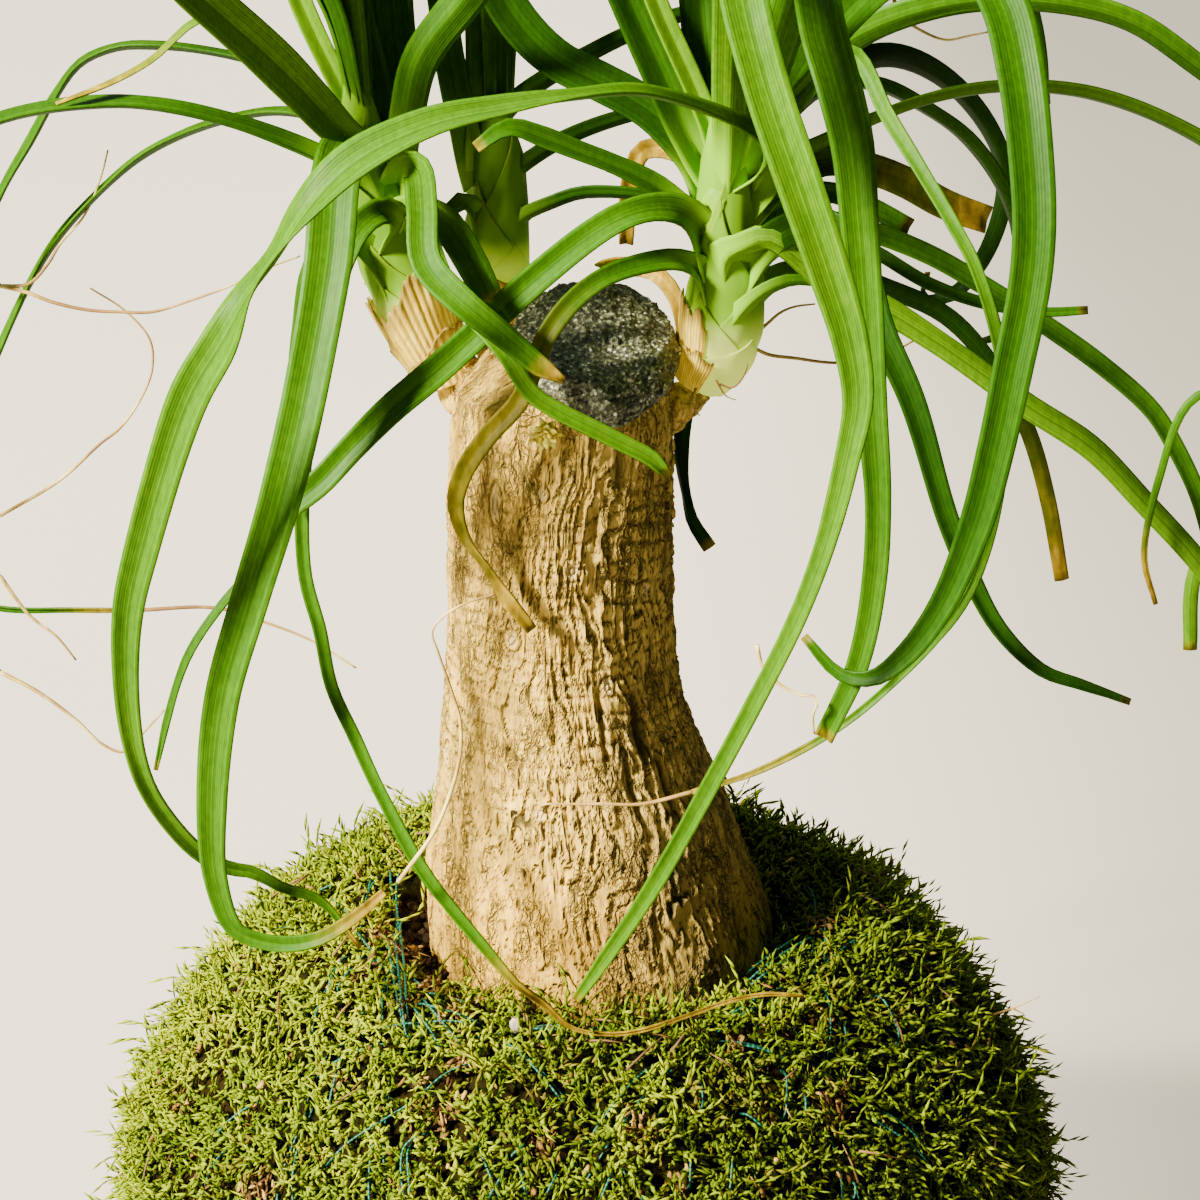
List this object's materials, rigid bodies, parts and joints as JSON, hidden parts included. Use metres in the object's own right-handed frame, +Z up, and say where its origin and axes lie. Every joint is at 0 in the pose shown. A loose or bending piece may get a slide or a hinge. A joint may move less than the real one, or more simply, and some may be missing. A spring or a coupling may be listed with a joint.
{
  "type": "kokedama moss ball plant",
  "caption": "Leafy woody plant with strap leaves growing from a soil ball wrapped in moss and wound with thread",
  "frame": {"origin": "middle of the small flat spot under the moss ball", "axes": "+Z up along the trunk, -Y towards the viewer of the picture, +X to the viewer's right"},
  "size_m": [0.4541, 0.2843, 0.4976],
  "materials": {
    "soil": "dark damp soil, crumbly",
    "moss": "live feathery moss, yellow-green over dark",
    "thread": "thin green nylon thread, slight sheen",
    "bark": "dry tan bark with fine wavy ridges",
    "wax": "dark grainy sealing wax with pale specks",
    "bud": "dry yellow-tan scales",
    "leaf": "smooth fresh green strap leaf, satin",
    "husk": "dry tan papery sheath"
  },
  "bodies": {
    "root": {"soil_ball": "soil", "moss_cover": "moss", "binding_thread": "thread", "trunk": "bark", "wax_seal": "wax", "trunk_bud": "bud", "left_leaf_head": "leaf", "back_leaf_head": "leaf", "right_leaf_head": "leaf", "left_husks": "husk", "back_husks": "husk", "right_husks": "husk"}
  },
  "joints": []
}
